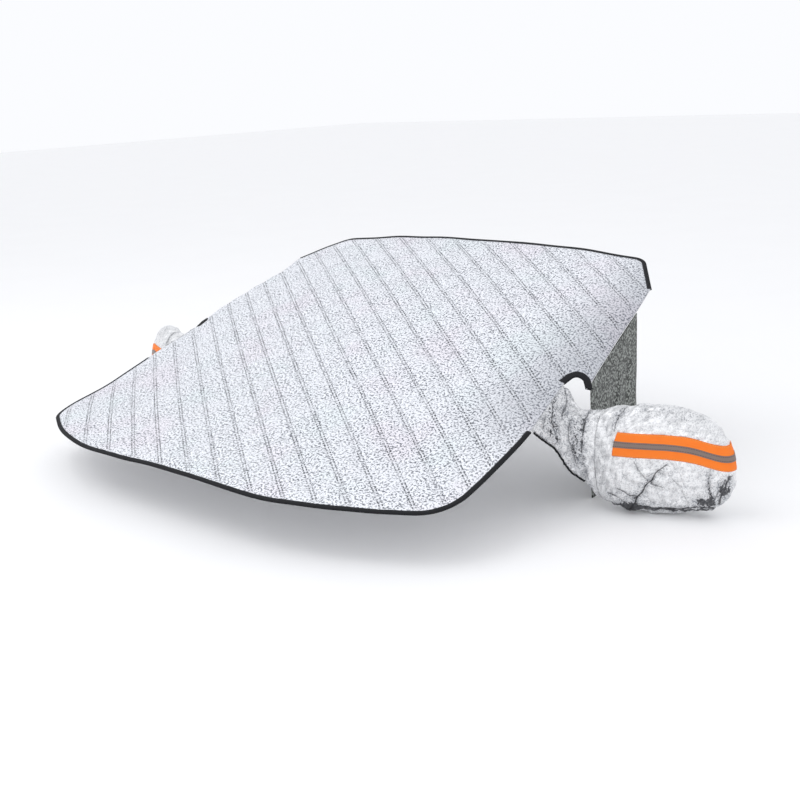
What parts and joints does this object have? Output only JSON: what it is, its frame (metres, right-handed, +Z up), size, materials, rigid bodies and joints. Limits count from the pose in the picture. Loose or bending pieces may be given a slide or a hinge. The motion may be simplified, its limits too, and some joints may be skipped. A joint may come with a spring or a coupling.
{
  "type": "windshield frost cover",
  "caption": "Quilted silver windshield frost cover with black bindings, mirror covers with orange reflective bands, and door flaps, in its draped shape.",
  "frame": {"origin": "middle of the base: halfway across, halfway from the front hem to the top hem, at the level of the mirror covers' bottoms and the flaps' hems", "axes": "+X is sideways, to the right of someone who faces the car's front; -Y is towards the front hem, over the hood; +Z is up"},
  "size_m": [1.9758, 1.1078, 0.4823],
  "materials": {
    "quilted_foil": "embossed silver foil over quilted padding, satin",
    "crinkled_foil": "crinkled silver foil cloth",
    "flap_foil": "speckled silver foil cloth",
    "black_binding": "matte woven tape",
    "black_elastic": "matte",
    "orange_tape": "fluorescent woven tape, matte",
    "grey_reflector": "retroreflective, satin"
  },
  "bodies": {
    "root": {"quilted_panel": "quilted_foil", "front_edge_binding": "black_binding", "top_edge_binding": "black_binding", "cutout_binding_left": "black_binding", "cutout_binding_right": "black_binding", "door_flap_left": "flap_foil", "door_flap_right": "flap_foil", "mirror_neck_left": "crinkled_foil", "mirror_neck_right": "crinkled_foil", "neck_hem_left": "black_binding", "neck_hem_right": "black_binding", "mirror_cover_left": "crinkled_foil", "mirror_cover_right": "crinkled_foil", "mouth_elastic_left": "black_elastic", "mouth_elastic_right": "black_elastic", "hi_vis_tape_left": "orange_tape", "hi_vis_tape_right": "orange_tape", "reflective_strip_left": "grey_reflector", "reflective_strip_right": "grey_reflector"}
  },
  "joints": []
}
